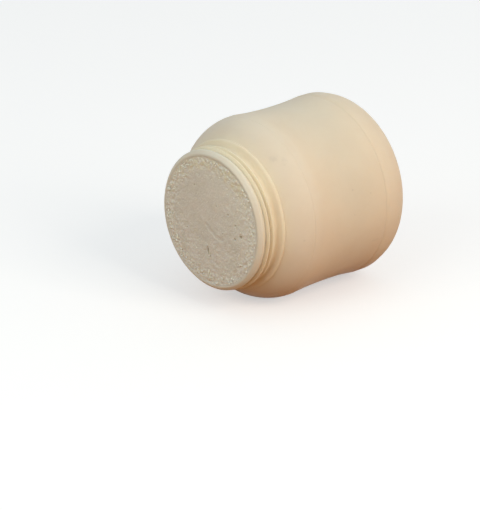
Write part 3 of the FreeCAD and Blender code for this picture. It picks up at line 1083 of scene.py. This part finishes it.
def floor_material(settings):
    """A pale floor that keeps the shadow in view, and gives warm light back to the jar."""
    material = bpy.data.materials.new("Stage Floor")
    nodes = empty_nodes(material)
    direct = seen_directly(nodes)
    diffuse = nodes.add("ShaderNodeBsdfDiffuse")
    nodes.join(nodes.mix_colour(direct, settings.floor_bounce, settings.floor), diffuse.inputs["Color"])
    glow = nodes.add("ShaderNodeEmission")
    nodes.join(nodes.times(direct, settings.floor_glow), glow.inputs["Strength"])
    both = nodes.add("ShaderNodeAddShader")
    nodes.join(diffuse.outputs[0], both.inputs[0])
    nodes.join(glow.outputs[0], both.inputs[1])
    output = nodes.add("ShaderNodeOutputMaterial")
    nodes.join(both.outputs[0], output.inputs["Surface"])
    return material


def set_world(settings):
    """Cool light from above and warm light from low down, on a white background."""
    world = bpy.data.worlds.new("Studio")
    nodes = empty_nodes(world)
    background = nodes.add("ShaderNodeBackground")
    coordinates = nodes.add("ShaderNodeTexCoord")
    height = nodes.add("ShaderNodeSeparateXYZ")
    nodes.join(coordinates.outputs["Generated"], height.inputs[0])
    above, low = (tuple(settings.sky_strength * part for part in tint[:3]) + (1,)
                  for tint in (settings.sky, settings.horizon))
    lit = nodes.mix_colour(nodes.band(height.outputs["Z"], 0.05, 0.5), low, above)
    nodes.join(nodes.mix_colour(seen_directly(nodes), lit, (1, 1, 1, 1)), background.inputs["Color"])
    output = nodes.add("ShaderNodeOutputWorld")
    nodes.join(background.outputs[0], output.inputs["Surface"])
    bpy.context.scene.world = world


def direction(azimuth, elevation):
    """The way from the jar to what stands at an azimuth and an elevation round it."""
    level = math.cos(elevation)
    return Vector((level * math.sin(azimuth), -level * math.cos(azimuth), math.sin(elevation)))


def add_lamp(name, azimuth, elevation, distance, size, power, tint):
    """A soft square lamp that faces the jar, from a direction in degrees."""
    away = direction(math.radians(azimuth), math.radians(elevation))
    bpy.ops.object.light_add(type="AREA", location=AXIS + away * distance)
    lamp = bpy.context.active_object
    lamp.name = name
    lamp.rotation_euler = (-away).to_track_quat("-Z", "Y").to_euler()
    lamp.data.shape = "SQUARE"
    lamp.data.size = size
    lamp.data.energy = power
    lamp.data.color = tint


class TULUM_OT_stage(bpy.types.Operator):
    """Add the pale floor, the soft lights and the camera"""

    bl_idname = "tulum.stage"
    bl_label = "Add Stage"

    def execute(self, context):
        settings = context.scene.tulum_stage
        deselect_all()
        bpy.ops.mesh.primitive_plane_add(size=12, location=(0, 0, FLOOR))
        floor = new_piece("floor")
        floor.data.materials.append(floor_material(settings))
        floor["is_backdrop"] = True
        set_world(settings)
        add_lamp("key_lamp", azimuth=93, elevation=30, distance=1.6, size=0.9,
                 power=settings.key_power, tint=(1.0, 0.90, 0.77))
        add_lamp("fill_lamp", azimuth=4, elevation=24, distance=1.8, size=1.4,
                 power=settings.fill_power, tint=(0.91, 1.0, 0.96))
        add_lamp("back_lamp", azimuth=208, elevation=9, distance=1.9, size=1.0,
                 power=settings.back_power, tint=(1.0, 0.98, 0.95))

        across = Vector((math.cos(settings.camera_azimuth), math.sin(settings.camera_azimuth), 0))
        away = direction(settings.camera_azimuth, settings.camera_elevation)
        up = away.cross(across)
        middle = AXIS - across * settings.aim_left - up * settings.aim_down
        bpy.ops.object.camera_add(location=middle + away * settings.camera_distance)
        camera = context.active_object
        camera.rotation_euler = Matrix((across, up, away)).transposed().to_euler()
        camera.data.lens = settings.camera_lens
        context.scene.camera = camera
        context.scene.view_settings.view_transform = "Standard"
        return {"FINISHED"}


# ------ add-on

class TULUM_PT_panel(bpy.types.Panel):
    """Makes the jar, its cheese and their stage"""

    bl_idname = "TULUM_PT_panel"
    bl_label = "Tulum Cheese Jar"
    bl_space_type = "VIEW_3D"
    bl_region_type = "UI"
    bl_category = "Tulum"

    def draw(self, context):
        for operator in OPERATORS:
            self.layout.operator(operator.bl_idname)
        for settings in (context.scene.tulum_jar, context.scene.tulum_cheese, context.scene.tulum_stage):
            box = self.layout.box()
            for name in settings.__annotations__:
                box.prop(settings, name)


OPERATORS = (TULUM_OT_jar, TULUM_OT_cheese, TULUM_OT_crumbs, TULUM_OT_stage)
CLASSES = (TulumJarSettings, TulumCheeseSettings, TulumStageSettings) + OPERATORS + (TULUM_PT_panel,)


def register():
    for kind in CLASSES:
        bpy.utils.register_class(kind)
    bpy.types.Scene.tulum_jar = PointerProperty(type=TulumJarSettings)
    bpy.types.Scene.tulum_cheese = PointerProperty(type=TulumCheeseSettings)
    bpy.types.Scene.tulum_stage = PointerProperty(type=TulumStageSettings)


def unregister():
    del bpy.types.Scene.tulum_stage
    del bpy.types.Scene.tulum_cheese
    del bpy.types.Scene.tulum_jar
    for kind in reversed(CLASSES):
        bpy.utils.unregister_class(kind)


def main():
    register()
    bpy.ops.tulum.jar()
    bpy.ops.tulum.cheese()
    bpy.ops.tulum.crumbs()
    bpy.ops.tulum.stage()


if __name__ == "__main__":
    main()
